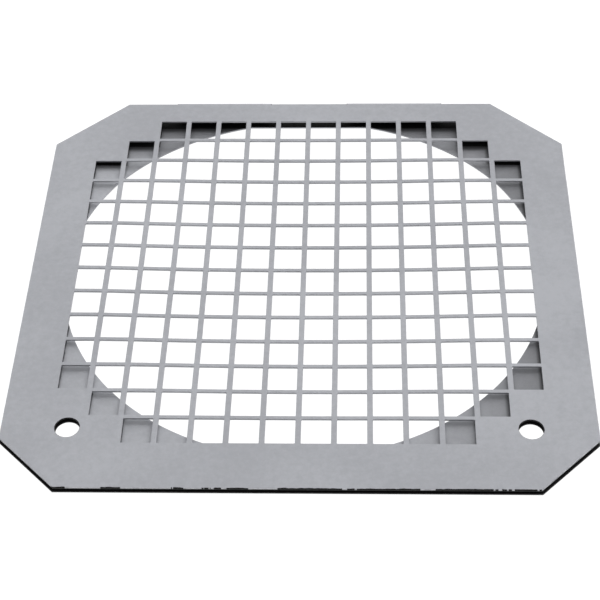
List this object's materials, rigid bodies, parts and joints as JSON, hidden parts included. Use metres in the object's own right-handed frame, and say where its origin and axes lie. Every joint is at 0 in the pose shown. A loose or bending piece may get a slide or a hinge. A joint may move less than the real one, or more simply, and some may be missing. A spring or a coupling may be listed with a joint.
{
  "type": "stage lamp filter frame with guard grille",
  "caption": "Folded sheet-metal filter frame for a round stage lamp: a front leaf with a square-hole guard grille, a rear leaf with a round opening, opening like a book on a strap fold.",
  "frame": {"origin": "middle of the closed frame's footprint, on the surface that it lies on, at its open edge and its fold", "axes": "+X across the frame, +Y from the open edge to the fold, +Z out of the front leaf, away from the lamp"},
  "size_m": [0.25, 0.2482, 0.0067],
  "materials": {
    "silver_grey_paint": "satin, fine-grained"
  },
  "bodies": {
    "rear_leaf": {"rear_ring_leaf": "silver_grey_paint", "left_fold_strap": "silver_grey_paint", "right_fold_strap": "silver_grey_paint"},
    "front_leaf": {"front_grille_leaf": "silver_grey_paint"}
  },
  "joints": [
    {"name": "leaf_fold", "type": "hinge", "parent": "rear_leaf", "child": "front_leaf", "pos_m": [0, 0.12078, 0.00334], "axis": [-1, 0, 0], "range_deg": [0, 60], "deforming": ["left_fold_strap", "right_fold_strap"]}
  ]
}
